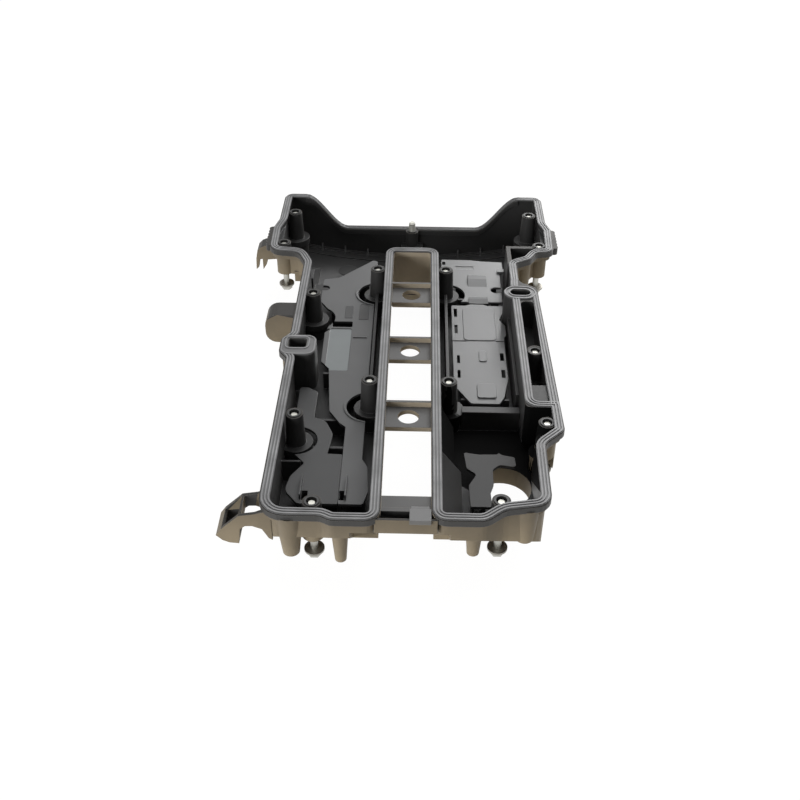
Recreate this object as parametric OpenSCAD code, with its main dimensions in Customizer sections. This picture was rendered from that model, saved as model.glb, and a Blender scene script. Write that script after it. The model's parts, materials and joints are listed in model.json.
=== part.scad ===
// Camshaft cover of a small in-line four-cylinder twin-cam engine, moulded in plastic.
// It lies upside down, as it does on a bench: gasket and inside face up (+Z), outside face down.
// Origin: gasket plane, on the spark plug line over the middle crossbar hole.
// +X is to the right, +Y towards the timing chain end.

/* [Overall sizes] */
// Distance from one cylinder bore to the next
plug_pitch = 78; // [66:0.5:96]
// Length of the timing chain chamber, from the slot's closed end to the chain-end face
chain_length = 104; // [90:1:125]
// Length of the arms past the outermost crossbar hole, at the clutch end
clutch_overrun = 104; // [90:1:125]
// Spark plug line to the outer gasket edge of the left arm
left_reach = 89.5; // [84:0.5:110]
// Spark plug line to the outer gasket edge of the right arm
right_reach = 103.5; // [98:0.5:124]
// Depth of the arms below the gasket plane
arm_depth = 45; // [42:1:54]
// Depth of the chain chamber below the gasket plane
chain_depth = 66; // [58:1:80]

/* [Walls and rim] */
// Wall thickness
wall_t = 3.2; // [2.6:0.1:4]
// Thickness of the rim flange
flange_t = 4.3; // [3:0.1:6]
// How far the flange stands out past the wall
flange_lip = 2.3; // [1.5:0.1:3]
// Depth of the outer wall along the clutch end
end_wall_depth = 18; // [14:1:22]
// Depth of the outer wall under the ears
ear_wall_depth = 30; // [26:1:34]
// Depth of the skirt under the rim, below which the corners are tucked in
skirt_depth = 10; // [8:0.5:13]

/* [Gasket] */
// Width of the gasket
gasket_w = 6; // [5:0.1:7]
// Thickness of the gasket's base strip
gasket_base_t = 0.6; // [0.4:0.1:1]
// Height of the sealing ridges on it
ridge_h = 0.6; // [0.4:0.1:1]
// Width of one sealing ridge
ridge_w = 0.9; // [0.7:0.1:1.1]

/* [Spark plug slot] */
// Half the width of the slot between its gasket edges
slot_half = 16.2; // [14:0.1:19]
// From the last crossbar hole to the slot's closed end
slot_overrun = 61; // [54:0.5:70]
// Radius of the crossbar holes
crossbar_hole_r = 7.3; // [5:0.1:9]
// Width of a crossbar along the slot
crossbar_w = 24; // [20:0.5:30]
// Thickness of a crossbar
crossbar_t = 3.4; // [3:0.1:7]
// Depth of the crossbars' flat face below the gasket plane
crossbar_drop = 6; // [4:0.5:10]

/* [Cover bolts] */
// Radius of the bolts' thread
thread_r = 2.95; // [2.5:0.05:3.5]
// Radius of the bolts' waisted shank
shank_r = 2.5; // [2:0.05:3]
// Radius of the bolts' flange
bolt_flange_r = 6.5; // [5.5:0.1:7.5]
// Radius of the bosses that show on the outside wall
boss_r = 7.2; // [6.6:0.1:8]
// Hexagon size across flats
hex_af = 8; // [7:0.5:10]
// Length of a bolt under its flange
bolt_length = 39; // [36:0.5:44]
// Length of the thread at the tip
thread_length = 12; // [10:0.5:14]
// Depth of the bolt seats below the gasket plane
seat_depth = 30; // [28:0.5:32]
// How far a bolt drops when it is loose
bolt_drop = 12; // [8:0.5:14]
// Length of the short bolt in the middle of the chain-end wall
short_bolt_length = 26; // [24:0.5:30]

/* [Breather] */
// Inner radius of the breather valve's housing
breather_r = 16; // [14:0.5:18]
// Height of the breather valve's housing
breather_h = 16; // [15:0.5:18]
// Radius of the breather pipe's bore
pipe_bore_r = 4; // [3:0.1:5]

/* [Oil filler] */
// Inner radius of the oil filler neck
filler_r = 19.5; // [17:0.5:21]
// How far the neck stands out of the roof
filler_neck_h = 11; // [8:0.5:14]

/* [Hidden] */
$fn = 48;

plastic = "#2c2b2a";
outer_plastic = "#3a3835";
rubber = "#5b5b5c";
plate_grey = "#8a8a8c";
zinc = "#c9cacb";
steel = "#a5a6a8";

over = 1;              // how far a cut runs past the face that it opens
big = 400;             // larger than the part
gasket_t = gasket_base_t + ridge_h;
flange_top = -gasket_t;
flange_bottom = flange_top - flange_t;
flange_out = 0.8;      // the flange shows this much outside the gasket
flange_in = gasket_w + 0.6;
wall_out = flange_lip - flange_out;

// Stations along Y and X, in the order in which they are met
clutch_y = -(plug_pitch + clutch_overrun);
slot_end_y = plug_pitch + slot_overrun;
chain_y = slot_end_y + chain_length;
ear_wall_y = slot_end_y - 2;
ear_left_x = -(left_reach + 29);
ear_right_x = right_reach + 13.5;
lobe_left_x = ear_left_x - 4;
lobe_right_x = ear_right_x + 4;
ear_tuck = 8;           // how far the ears' walls stand back under the skirt
rail_x = slot_half + 12.3;
roof_in_z = -arm_depth + wall_t;

// The dip in the chain-end rim
ear_slope = 29;
dip_depth = 32;
dip_x = -1.5;
dip_flat = min(60, left_reach - 29);
dip_wide = min(98, left_reach + 8.5);
arch_r = 505;
gusset_pitch = 21.6;

// Pocket beside the right arm, and the two ports
pocket_left_x = right_reach - 17.5;
pocket_right_x = right_reach - 6;
pocket_near_y = -65;
pocket_far_y = plug_pitch - 14;
pocket_floor_z = -26;
port_right = [right_reach - 16.5, plug_pitch - 2];
port_left = [-(left_reach - 7), -2.5];
port_right_hole = [17.5, 8];
port_right_pad = [26, 19];
port_left_hole = [13, 11];
port_left_hole_at = port_left + [-1, 3];
port_left_pad = [26, 25];
port_depth = 30;

// Plates over the oil separator
plate_z = -26;
plate_t = 2;

// Bolts: where each one stands
bolt_at = [
    [ear_left_x + 11.5, chain_y - 33],
    [ear_right_x - 12.5, chain_y - 33],
    [ear_left_x + 7.5, slot_end_y + 14.6],
    [ear_right_x - 8, slot_end_y + 15.6],
    [-(left_reach - 11.1), plug_pitch - 5.3],
    [-(left_reach - 12.1), -(plug_pitch + 3.5)],
    [-(slot_half + 11.9), 1.5 * plug_pitch - 5.6],
    [slot_half + 11.9, 1.5 * plug_pitch - 5.6],
    [-(slot_half + 11.9), -(plug_pitch / 2 + 3.3)],
    [slot_half + 11.9, -(plug_pitch / 2 + 3.3)],
    [-(left_reach - 31.7), clutch_y + 15.1],
    [right_reach - 45.2, clutch_y + 19.1],
    [right_reach - 10.1, -(plug_pitch + 8.5)],
    [right_reach - 11.2, -3.1],
    [dip_x + 0.5, chain_y - 8.5]
];
last_bolt = len(bolt_at) - 1;
outboard = [2, 3, 10, 11, 12];     // bolts whose boss shows on the outside wall
post_top = -2;
post_r = 5.9;
post_foot_r = 7.1;
well_r = 8;
well_wall = 2.4;
spigot_r = 11.6;
well_top = -(seat_depth - 3);
outer_well_top = plate_z - plate_t - 0.3;
sleeve_in_r = thread_r + 0.45;
sleeve_out_r = sleeve_in_r + 1.3;
sleeve_length = 13.3;
retainer_in_r = shank_r + 0.15;
retainer_h = 2;
short_post_top = -(dip_depth + 0.5);
short_seat = 50;
short_drop = 7.5;
short_sleeve = 3.8;

// ---- Outlines: counter-clockwise lists of [x, y, corner radius]
function plan(p) = [p[0], p[1]];
function point(path, i) = path[(i + len(path)) % len(path)];
function heading(a, b) = (plan(b) - plan(a)) / norm(plan(b) - plan(a));
function outward(d) = [d[1], -d[0]];
function bend(path, i) = let(
    before = heading(point(path, i - 1), point(path, i)),
    after = heading(point(path, i), point(path, i + 1)))
    atan2(cross(before, after), before * after);

// The same outline moved inwards by d, with its corner radii to match
function inset(path, d) = [for (i = [0 : len(path) - 1]) let(
    before = outward(heading(point(path, i - 1), point(path, i))),
    after = outward(heading(point(path, i), point(path, i + 1))),
    p = plan(point(path, i)) - d * (before + after) / (1 + before * after))
    [p[0], p[1], max(0, point(path, i)[2] - sign(bend(path, i)) * d)]];

// A corner as points on its arc; a radius that its sides can't hold is cut to fit
function corner(path, i) = let(
    here = plan(point(path, i)),
    before = heading(point(path, i - 1), point(path, i)),
    after = heading(point(path, i), point(path, i + 1)),
    turn = bend(path, i),
    room = 0.48 * min(norm(here - plan(point(path, i - 1))), norm(plan(point(path, i + 1)) - here)),
    back = min(point(path, i)[2] * tan(abs(turn) / 2), room),
    r = abs(turn) < 1 ? 0 : back / tan(abs(turn) / 2),
    steps = max(1, round(abs(turn) / 15)),
    start = here - before * back,
    centre = start - outward(before) * r * sign(turn),
    arm = start - centre)
    r < 0.05 ? [here] : [for (k = [0 : steps]) let(a = turn * k / steps)
        centre + [arm[0] * cos(a) - arm[1] * sin(a), arm[0] * sin(a) + arm[1] * cos(a)]];
function rounded(path) = [for (i = [0 : len(path) - 1]) each corner(path, i)];

function box_path(x0, y0, x1, y1, r) = [[x0, y0, r], [x1, y0, r], [x1, y1, r], [x0, y1, r]];
function pad_path(at, size, r) = box_path(at[0] - size[0] / 2, at[1] - size[1] / 2,
                                          at[0] + size[0] / 2, at[1] + size[1] / 2, r);

// Clutch end of both arms, with the slot between them; low is 1 for the walls below the skirt
function clutch_end(low) = [
    [-left_reach, clutch_y + 2, 16 + 14 * low],
    [-(left_reach - 38), clutch_y + 2, 8],
    [-(left_reach - 44), clutch_y - 1.5, 8],
    [-slot_half, clutch_y - 1.5, 9],
    [-slot_half, slot_end_y, 3.5],
    [slot_half, slot_end_y, 3.5],
    [slot_half, clutch_y, 9],
    [right_reach - 55, clutch_y, 12],
    [right_reach - 43, clutch_y + 10, 12],
    [right_reach - 15, clutch_y + 15, 11 + 13 * low],
    [right_reach - 14, clutch_y + 72 + 12 * low, 9 - 3 * low],
    [right_reach, -(plug_pitch + 18) + 12 * low, 6]
];
// Chain end, from the right arm round to the left port
function chain_end(low) = [
    [right_reach - 17, slot_end_y - 17, 5],
    [right_reach - 4.5, ear_wall_y - 8 + ear_tuck * low, 6],
    [ear_right_x - 11, ear_wall_y + 4 + ear_tuck * low, 7],
    [lobe_right_x - 1.5 - 3 * low, ear_wall_y + 5 + ear_tuck * low, 8],
    [lobe_right_x - 4 * low, slot_end_y + 42, 6],
    [ear_right_x, slot_end_y + 56, 8],
    [ear_right_x, chain_y, 7],
    [ear_left_x, chain_y, 7],
    [ear_left_x, slot_end_y + 56, 8],
    [lobe_left_x + 4 * low, slot_end_y + 38, 6],
    [lobe_left_x + 1 + 3 * low, ear_wall_y + 1.5 + (ear_tuck + 2) * low, 11 - 4 * low],
    [-(left_reach + 7), ear_wall_y - 1.5 + (ear_tuck + 2) * low, 9],
    [-left_reach, slot_end_y - 20, 10],
    [-left_reach, port_left[1] + 16, 5],
    [-left_reach - 6, port_left[1] + 8, 5],
    [-left_reach - 6, port_left[1] - 8, 5],
    [-left_reach, port_left[1] - 16, 5]
];
// Outer gasket edge of the whole cover, the pocket included
function cover_path(low = 0) = concat(clutch_end(low), [
    [right_reach - 3, port_right[1] - 9, 6],
    [right_reach - 3, port_right[1] + 8, 8],
    [right_reach - 17, port_right[1] + 17, 8]], chain_end(low));
// Outer gasket edge of the oil-wetted part, which leaves the pocket out
function oil_path(low = 0) = concat(clutch_end(low), [
    [right_reach, pocket_near_y, 0.4],
    [pocket_left_x, pocket_near_y, 4],
    [pocket_left_x, port_right[1] + 12, 4],
    [right_reach - 17, port_right[1] + 20, 4]], chain_end(low));

// ---- Building blocks
module slab(path, z0, z1) {
    translate([0, 0, z0]) linear_extrude(z1 - z0) polygon(rounded(path));
}
module band(path, from, to, z0, z1) {
    difference() {
        slab(inset(path, from), z0, z1);
        slab(inset(path, to), z0 - over, z1 + over);
    }
}
// A side view (points are [y, z]) drawn out along X, and an end view ([x, z]) along Y
module along_x(points, x0, x1) {
    translate([x0, 0, 0]) rotate([90, 0, 90]) linear_extrude(x1 - x0) polygon(points);
}
module along_y(points, y0, y1) {
    translate([0, y1, 0]) rotate([90, 0, 0]) linear_extrude(y1 - y0) polygon(points);
}
module block(x0, y0, z0, x1, y1, z1) {
    translate([x0, y0, z0]) cube([x1 - x0, y1 - y0, z1 - z0]);
}
module rod(at, z0, z1, r) {
    translate([at[0], at[1], z0]) cylinder(h = z1 - z0, r = r);
}
module taper(at, z0, z1, r0, r1) {
    translate([at[0], at[1], z0]) cylinder(h = z1 - z0, r1 = r0, r2 = r1);
}
module oval(at, size, z0, z1) {
    r = size[1] / 2;
    half = size[0] / 2 - r;
    rod([at[0] - half, at[1]], z0, z1, r);
    rod([at[0] + half, at[1]], z0, z1, r);
    block(at[0] - half, at[1] - r, z0, at[0] + half, at[1] + r, z1);
}

// Height of the chain-end rim's edge above or below the gasket plane
function ease(t) = let(u = min(1, max(0, t))) u * u * (3 - 2 * u);
function dip_z(x) = -dip_depth * ease((dip_wide - abs(x - dip_x)) / (dip_wide - dip_flat));
function dip_xs() = let(slope = [for (k = [0 : 12]) dip_flat + (dip_wide - dip_flat) * k / 12])
    concat([for (k = [12 : -1 : 0]) dip_x - slope[k]], [for (x = slope) dip_x + x]);
function dip_band(top, bottom) = concat(
    [for (x = dip_xs()) [x, dip_z(x) + top]],
    [let(xs = dip_xs()) for (k = [len(xs) - 1 : -1 : 0]) [xs[k], dip_z(xs[k]) + bottom]]);

// Space under the roof, i inside the outer skin
module roof_profile(i) {
    deep = chain_depth - arm_depth;
    hip = arm_depth - end_wall_depth;
    lean = i * (sqrt(2) - 1);
    along_x([
        [clutch_y - 8, 10],
        [clutch_y - 8, -end_wall_depth + 8 + i * sqrt(2)],
        [clutch_y + hip + lean, -arm_depth + i],
        [slot_end_y + 10 + lean, -arm_depth + i],
        [slot_end_y + 10 + deep + lean, -chain_depth + i],
        [chain_y + 8, -chain_depth + i],
        [chain_y + 8, 10]], -big / 2, big / 2);
}
module arch(i) {
    translate([0, 0, arch_r - chain_depth]) rotate([90, 0, 0])
        cylinder(h = 2 * big, r = arch_r - i, center = true, $fn = 180);
}
module ear_hip(i, side) {
    low = -ear_wall_depth + i / cos(ear_slope);
    x0 = left_reach - 1 - i;
    run = 110;
    mirror([side < 0 ? 1 : 0, 0, 0])
        along_x([[ear_wall_y - 2, low], [ear_wall_y - 2, low - run], [ear_wall_y + run, low - run],
                 [ear_wall_y + run, low - (run - 13) * tan(ear_slope)], [ear_wall_y + 13, low]], x0, x0 + 80);
}
// Under the wall's edge beside the slot, the end wall is less deep
module front_hip(i) {
    low = -end_wall_depth + 4.5 + i * sqrt(2);
    along_x([[clutch_y - 8, low + 8], [clutch_y - 8, -big / 2], [clutch_y + 26, -big / 2],
             [clutch_y + 26, low - 26]], -(slot_half + 17.8) - i, slot_half + 11.3 + i);
}
module bowl(path, i, top, bottom = -chain_depth - over) {
    difference() {
        intersection() {
            slab(path, bottom, top);
            roof_profile(i);
            arch(i);
        }
        ear_hip(i, -1);
        ear_hip(i, 1);
        front_hip(i);
    }
}
// The whole outer body: the skirt, and the walls that are tucked in below it
module outer_skin(top) {
    bowl(inset(cover_path(), wall_out), 0, top, -skirt_depth);
    bowl(inset(cover_path(1), wall_out), 0, top);
}
module inner_skin() {
    bowl(inset(oil_path(), wall_out + wall_t), wall_t, over, -skirt_depth + wall_t);
    bowl(inset(oil_path(1), wall_out + wall_t), wall_t, over);
}

// ---- Cover shell
module dip_flange() {
    along_y(dip_band(flange_top, flange_bottom), chain_y - flange_in, chain_y + flange_out);
}
module dip_cut(shift) {
    along_y(concat([for (x = dip_xs()) [x, dip_z(x) + shift]],
                   [[dip_x + dip_wide, 5], [dip_x - dip_wide, 5]]),
            chain_y - 12, chain_y + 5);
}
module crossbars() {
    half_w = crossbar_w / 2;
    for (y = [-plug_pitch, 0, plug_pitch]) {
        block(-slot_half - 3, y - half_w + 0.5, -crossbar_drop - crossbar_t,
              slot_half + 3, y + half_w + 1, -crossbar_drop);
        block(-slot_half - 3, y + half_w - 1.2, -crossbar_drop - crossbar_t,
              slot_half + 3, y + half_w + 1, -crossbar_drop + 4);
    }
}
module end_bar() {
    edge = slot_half + 3;
    block(-edge, clutch_y + 0.5, -13.5, edge, clutch_y + 24, -10.5);
    block(-edge, clutch_y + 0.5, -13.5, edge, clutch_y + 2.3, -2.4);
    block(-edge, clutch_y + 9.5, -13.5, edge, clutch_y + 24, -4.5);
    block(-edge, clutch_y + 9.5, -13.5, edge, clutch_y + 13, -3.6);
}
module bolt_post(n) {
    at = bolt_at[n];
    outer_one = len(search(n, outboard)) > 0;
    top = outer_one ? outer_well_top : well_top;
    taper(at, top - over, post_top, post_foot_r, post_r);
    rod(at, -chain_depth - over, top, well_r + well_wall);
    if (!outer_one)
        rod(at, well_top - 5, well_top, spigot_r);
}
module short_post() {
    rod(bolt_at[last_bolt], -short_seat, short_post_top, post_r);
    rod(bolt_at[last_bolt], -short_seat - 2, -short_seat + 3, well_r + well_wall);
}
// Two blocks that carry the port pads
module port_blocks() {
    slab(pad_path(port_left, port_left_pad, 7), -port_depth - wall_t, flange_top);
    oval(port_right, port_right_pad, -port_depth - wall_t, flange_top);
}
module pocket_box() {
    slab(box_path(pocket_left_x - 6, pocket_near_y - 6, right_reach - wall_out, port_right[1], 4),
         pocket_floor_z - 7, flange_top);
}
// Walls of the oil drain corner beside the right ear
module corner_box() {
    x = right_reach - 23.2;
    far = ear_wall_y + 17.5;
    block(x, slot_end_y - 14, roof_in_z - over, x + 3.6, far, -2.6);
    block(x, far - 3.6, roof_in_z - over, ear_right_x - 12, far, -2.6);
}
// Ribs that carry the plates, and the rails beside the slot
module inner_ribs() {
    foot = roof_in_z - over;
    plate_seat = plate_z - plate_t;
    for (side = [-1, 1])
        block(side * rail_x - 1.1, bolt_at[8][1] + 8, foot, side * rail_x + 1.1, bolt_at[6][1] - 8, -21);
    for (y = [clutch_y + 52, -plug_pitch - 8, -plug_pitch + 22, 0, plug_pitch - 22, plug_pitch + 8, slot_end_y - 12])
        block(-left_reach + 24, y - 1, foot, -slot_half - 20, y + 1, plate_seat);
    for (y = [-plug_pitch / 2 + 10, -5, plug_pitch / 2 - 10, plug_pitch - 12, plug_pitch + 30, slot_end_y])
        block(slot_half + 22, y - 1, foot, right_reach - 30, y + 1, plate_seat);
    for (x = [-left_reach + 44, right_reach - 38])
        block(x - 1, -28, foot, x + 1, slot_end_y - 14, plate_seat);
    block(-left_reach + 44, clutch_y + 45, foot, -left_reach + 46, -plug_pitch - 22, plate_seat);
    // Ledge at the edge of the deep hollow
    block(slot_half + 22, -plug_pitch / 2 - 9, foot, right_reach - 24, -plug_pitch / 2 - 2.5, -25);
    // Small ribs at the wall of the left arm
    block(-left_reach + 4, -plug_pitch - 28, foot, -left_reach + 17.5, -plug_pitch - 26.6, -24);
    block(right_reach - 26, -plug_pitch / 2 + 6, foot, right_reach - 23.8, plug_pitch - 4, -20);
}
// Sloping inner wall beside the slot, at the deep hollow
module sloped_wall() {
    along_y([[slot_half + 4, -8], [slot_half + 16, -32], [slot_half + 16, roof_in_z - over],
             [slot_half + 4, roof_in_z - over]], clutch_y + 82, -plug_pitch / 2 - 18);
    along_y([[slot_half + 4, -8], [slot_half + 20, -30], [slot_half + 20, roof_in_z - over],
             [slot_half + 4, roof_in_z - over]], clutch_y + 3, clutch_y + 75);
    along_y([[slot_half + 4, -8], [slot_half + 18, -31], [slot_half + 18, roof_in_z - over],
             [slot_half + 4, roof_in_z - over]], clutch_y + 74, clutch_y + 83);
}
// Ledge and gussets where the chain-end wall meets the arched roof
function arch_z(x, up) = arch_r - chain_depth - sqrt(pow(arch_r - wall_t - up, 2) - x * x);
function arch_band(half, low, high) = concat(
    [for (k = [-8 : 8]) [half * k / 8, arch_z(half * k / 8, low)]],
    [for (k = [8 : -1 : -8]) [half * k / 8, arch_z(half * k / 8, high)]]);
module chain_ledge() {
    wall_y = chain_y - wall_out - wall_t;
    half = left_reach + 12;
    along_y(arch_band(half, -1, 1.4), wall_y - 12, wall_y + over);
    along_y(arch_band(half, -1, 2.6), wall_y - 3.5, wall_y + over);
    for (x = gusset_pitch * [-4, -3, -2, -1, 1, 2, 3, 4])
        along_x([[wall_y + over, arch_z(x, 1)], [wall_y - 6, arch_z(x, 1)],
                 [wall_y - 2, arch_z(x, 7)], [wall_y + over, arch_z(x, 7)]], x - 0.6, x + 0.6);
}
module filler_neck() {
    rod(filler_at, -arm_depth - filler_neck_h, roof_in_z - over, filler_r + wall_t);
    rod(filler_at, -arm_depth - 4, roof_in_z - over, filler_r + wall_t + 2);
}
filler_at = [right_reach - 38.5, clutch_y + 74];
breather_at = [-(left_reach - 34), plug_pitch / 4];
pipe_z = -arm_depth - pipe_bore_r - 4.8;
pipe_reach = 42;
pipe_collar = 1.5;       // how far the pipe's collar stands off the round housing, so that a hose has a flat stop
diaphragm_z = -arm_depth - breather_h + 3.4;
module breather_housing() {
    rod(breather_at, -arm_depth - breather_h, -arm_depth + over, breather_r + wall_t);
    translate([breather_at[0], breather_at[1], pipe_z]) rotate([0, -90, 0])
        union() {
            cylinder(h = pipe_reach, r = pipe_bore_r + 1.8);
            cylinder(h = breather_r + wall_t + pipe_collar, r = pipe_bore_r + 3);
        }
}
// Ribs on the outside of the roof, and the pads that it stands on
module outer_ribs() {
    for (y = [-1.5, -0.5, 0.5, 1.5] * plug_pitch) {
        block(-left_reach + 6, y - 1, -arm_depth - 2.5, -slot_half - 4, y + 1, -arm_depth + over);
        block(slot_half + 4, y - 1, -arm_depth - 2.5, right_reach - 20, y + 1, -arm_depth + over);
    }
    for (x = [-left_reach + 20, -slot_half - 14, slot_half + 14, right_reach - 32])
        block(x - 1, clutch_y + 34, -arm_depth - 2.5, x + 1, slot_end_y + 8, -arm_depth + over);
    for (x = [-60, 60])
        rod([x, chain_y - 40], -chain_depth, -chain_depth + 8, 9);
    for (at = [[-left_reach + 30, clutch_y + 56], [slot_half + 15, clutch_y + 56]])
        taper(at, -chain_depth, -arm_depth + over, 5, 6.5);
}
// Locating pegs and rounded columns along the clutch-end wall
module clutch_pegs() {
    taper([-left_reach + 18, clutch_y + 9], -39, flange_bottom + over, 5.4, 9);
    taper([-left_reach + 49, clutch_y + 7], -43, flange_bottom + over, 3.7, 6.4);
    taper([right_reach - 61.5, clutch_y + 8], -36, flange_bottom + over, 3.9, 6.4);
    taper([right_reach - 29, clutch_y + 19], -33, flange_bottom + over, 6, 8);
}
// Bracket for the wiring at the clutch end: two arched plates with an open top, closed at their outer end
module clutch_bracket() {
    outer = -left_reach;
    near = clutch_y + 8;
    far = clutch_y + 26;
    for (y = [near, far])
        along_y([[outer - 28.2, -25.9], [outer - 24.5, -20.5], [outer - 12.9, -9], [outer - 3, -7.2],
                 [outer + 2, -4.8], [outer + 7, -4.8], [outer + 7, -29], [outer + 4.7, -27.5], [outer + 0.9, -19.8],
                 [outer - 5.1, -17.3], [outer - 9.4, -17.5], [outer - 12.7, -20.2], [outer - 14.2, -32.6],
                 [outer - 20.1, -32], [outer - 24.3, -30.1]], y, y + 2.2);
    along_y([[outer - 28.2, -25.9], [outer - 24.5, -20.5], [outer - 22.8, -21.5], [outer - 26, -26],
             [outer - 23.2, -28.8], [outer - 14.3, -31], [outer - 14.2, -32.6], [outer - 20.1, -32],
             [outer - 24.3, -30.1]], near, far + 1);
    along_y([[outer - 13, -9.2], [outer - 11.5, -9], [outer - 11.5, -18.4], [outer - 13, -20]], near, far + 1);
}
// Rounded lug half way along the left arm
module side_lug() {
    lug_y = plug_pitch / 2 + 1;
    along_y(rounded([[-left_reach + 2, -28, 1], [-left_reach + 2, -2.5, 1],
                     [-left_reach - 24, -2.5, 10], [-left_reach - 24, -28, 9]]), lug_y, lug_y + 18);
}
// Two-pronged clip hook beside the left ear
module ear_hook() {
    x = lobe_left_x;
    near = slot_end_y + 21;
    along_y([[x + 6.5, -9], [x - 5.2, -9], [x - 10, -11], [x - 13.5, -14.5], [x - 15, -22.4], [x - 15.5, -33],
             [x - 13, -30.5], [x - 11.7, -23], [x - 9.4, -22.5], [x - 9.4, -33], [x - 6, -27.5], [x - 4.6, -23],
             [x + 6.5, -22]], near, near + 4);
    along_y([[x + 6.5, -9], [x - 5.2, -9], [x - 10, -11], [x - 13.5, -14.5], [x - 15, -22.4], [x - 13, -22.4],
             [x - 11.7, -16], [x - 6, -12], [x + 6.5, -12]], near, near + 14);
}
// Scalloped edges of the ears' flanges, and the column beside the right ear
module ear_edges() {
    for (k = [0 : 5]) {
        rod([lobe_left_x - 0.8, slot_end_y + 13 + 5.2 * k], flange_bottom - 2.5, flange_top - 0.5, 3.1);
        rod([lobe_right_x + 0.8, slot_end_y + 14 + 5.2 * k], flange_bottom - 2.5, flange_top - 0.5, 3.1);
    }
    taper([right_reach - 9, ear_wall_y - 1.5], -ear_wall_depth, flange_bottom + over, 5.8, 6.6);
    block(-(left_reach + 13), ear_wall_y + 9.5, -ear_wall_depth - 6.5, -(left_reach + 4), ear_wall_y + 15,
          -ear_wall_depth + wall_t);
}

module hollow_cover() {
    difference() {
        union() {
            outer_skin(flange_top);
            slab(inset(cover_path(), -flange_out), flange_bottom, flange_top);
            for (n = outboard)
                rod(bolt_at[n], -seat_depth, flange_bottom + over, boss_r);
            clutch_pegs();
            clutch_bracket();
            side_lug();
            ear_hook();
            ear_edges();
        }
        inner_skin();
        slab(inset(oil_path(), flange_in), flange_bottom - over, over);
        dip_cut(flange_top);
    }
}
// Everything that stands up inside, trimmed to the outer skin
module inner_works() {
    intersection() {
        union() {
            for (n = [0 : last_bolt - 1])
                bolt_post(n);
            short_post();
            port_blocks();
            pocket_box();
            inner_ribs();
            sloped_wall();
            chain_ledge();
            corner_box();
        }
        outer_skin(over);
    }
}

module cover_shell() color(plastic) {
    difference() {
        union() {
            hollow_cover();
            inner_works();
            dip_flange();
            crossbars();
            end_bar();
            filler_neck();
            breather_housing();
            outer_ribs();
        }
        // Bolt bores, the sleeves' seats and the wells for the bolt heads
        for (n = [0 : last_bolt - 1]) {
            rod(bolt_at[n], -seat_depth - over, over, sleeve_out_r);
            rod(bolt_at[n], -chain_depth - over, -seat_depth, well_r);
        }
        rod(bolt_at[last_bolt], -short_seat - over, over, sleeve_out_r);
        rod(bolt_at[last_bolt], -chain_depth - over, -short_seat, well_r);
        for (y = [-plug_pitch, 0, plug_pitch])
            rod([0, y], -crossbar_drop - crossbar_t - over, over, crossbar_hole_r);
        // Ports and pocket
        slab(pad_path(port_left_hole_at, port_left_hole, 2), -port_depth, over);
        oval(port_right, port_right_hole, -port_depth, over);
        difference() {
            slab(box_path(pocket_left_x, pocket_near_y, pocket_right_x, pocket_far_y, 5), pocket_floor_z, over);
            rod(bolt_at[13], pocket_floor_z - over, over, post_r);
            block(pocket_left_x - 1, pocket_near_y - 1, pocket_floor_z - 1,
                  pocket_right_x + 1, pocket_near_y + 18, pocket_floor_z + 12);
        }
        // Oil filler, breather valve chamber and breather pipe
        rod(filler_at, -arm_depth - filler_neck_h - over, roof_in_z + over, filler_r);
        rod(breather_at, -arm_depth - breather_h - over, -arm_depth - 0.4, breather_r);
        rod(breather_at, -arm_depth - over, roof_in_z + over, 5);
        translate([breather_at[0] - breather_r + 2, breather_at[1], pipe_z])
            rotate([0, -90, 0]) cylinder(h = left_reach, r = pipe_bore_r);
    }
}

// ---- Gasket: a base strip with three sealing ridges, moulded in one piece with its port rings
ridge_pitch = (gasket_w - ridge_w - 1) / 2;
gasket_base_z = flange_top + gasket_base_t;
module ridged_band(path) {
    band(path, 0, gasket_w, flange_top, gasket_base_z);
    for (k = [0 : 2])
        band(path, 0.5 + k * ridge_pitch, 0.5 + k * ridge_pitch + ridge_w, flange_top, 0);
}
module dip_strip() {
    difference() {
        union() {
            along_y(dip_band(gasket_base_z, flange_top), chain_y - gasket_w, chain_y);
            for (k = [0 : 2])
                along_y(dip_band(0, flange_top), chain_y - 0.5 - k * ridge_pitch - ridge_w,
                        chain_y - 0.5 - k * ridge_pitch);
        }
        rod(bolt_at[last_bolt], -2 * dip_depth, over, post_r + 0.3);
    }
}
module port_ring_left() {
    pad = pad_path(port_left, port_left_pad, 7);
    hole = pad_path(port_left_hole_at, port_left_hole, 2);
    difference() {
        union() {
            slab(pad, flange_top, gasket_base_z);
            band(pad, 0.5, 0.5 + ridge_w, flange_top, 0);
            band(hole, -2.6, -2.6 + ridge_w, flange_top, 0);
        }
        slab(inset(hole, -0.5), -5, 5);
    }
}
module port_ring_right() {
    difference() {
        oval(port_right, port_right_pad, flange_top, gasket_base_z);
        oval(port_right, port_right_hole + [1, 1], -5, 5);
    }
    for (grow = [-0.5, -4])
        difference() {
            oval(port_right, port_right_pad + 2 * [grow, grow], flange_top, 0);
            oval(port_right, port_right_pad + 2 * [grow - ridge_w, grow - ridge_w], -5, 5);
        }
}
module head_gasket() color(rubber) {
    trim = 0.1;
    difference() {
        union() {
            ridged_band(oil_path());
            intersection() {
                ridged_band(cover_path());
                block(pocket_right_x - 1, pocket_near_y - gasket_w / 2 - 0.2, -5,
                      right_reach + 1, port_right[1], 5);
            }
        }
        block(dip_x - dip_wide, chain_y - gasket_w - over, -5, dip_x + dip_wide, chain_y + over, 5);
        slab(inset(pad_path(port_left, port_left_pad, 7), trim), -5, 5);
        oval(port_right, port_right_pad - 2 * [trim, trim], -5, 5);
    }
    dip_strip();
    port_ring_left();
    port_ring_right();
}

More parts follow.
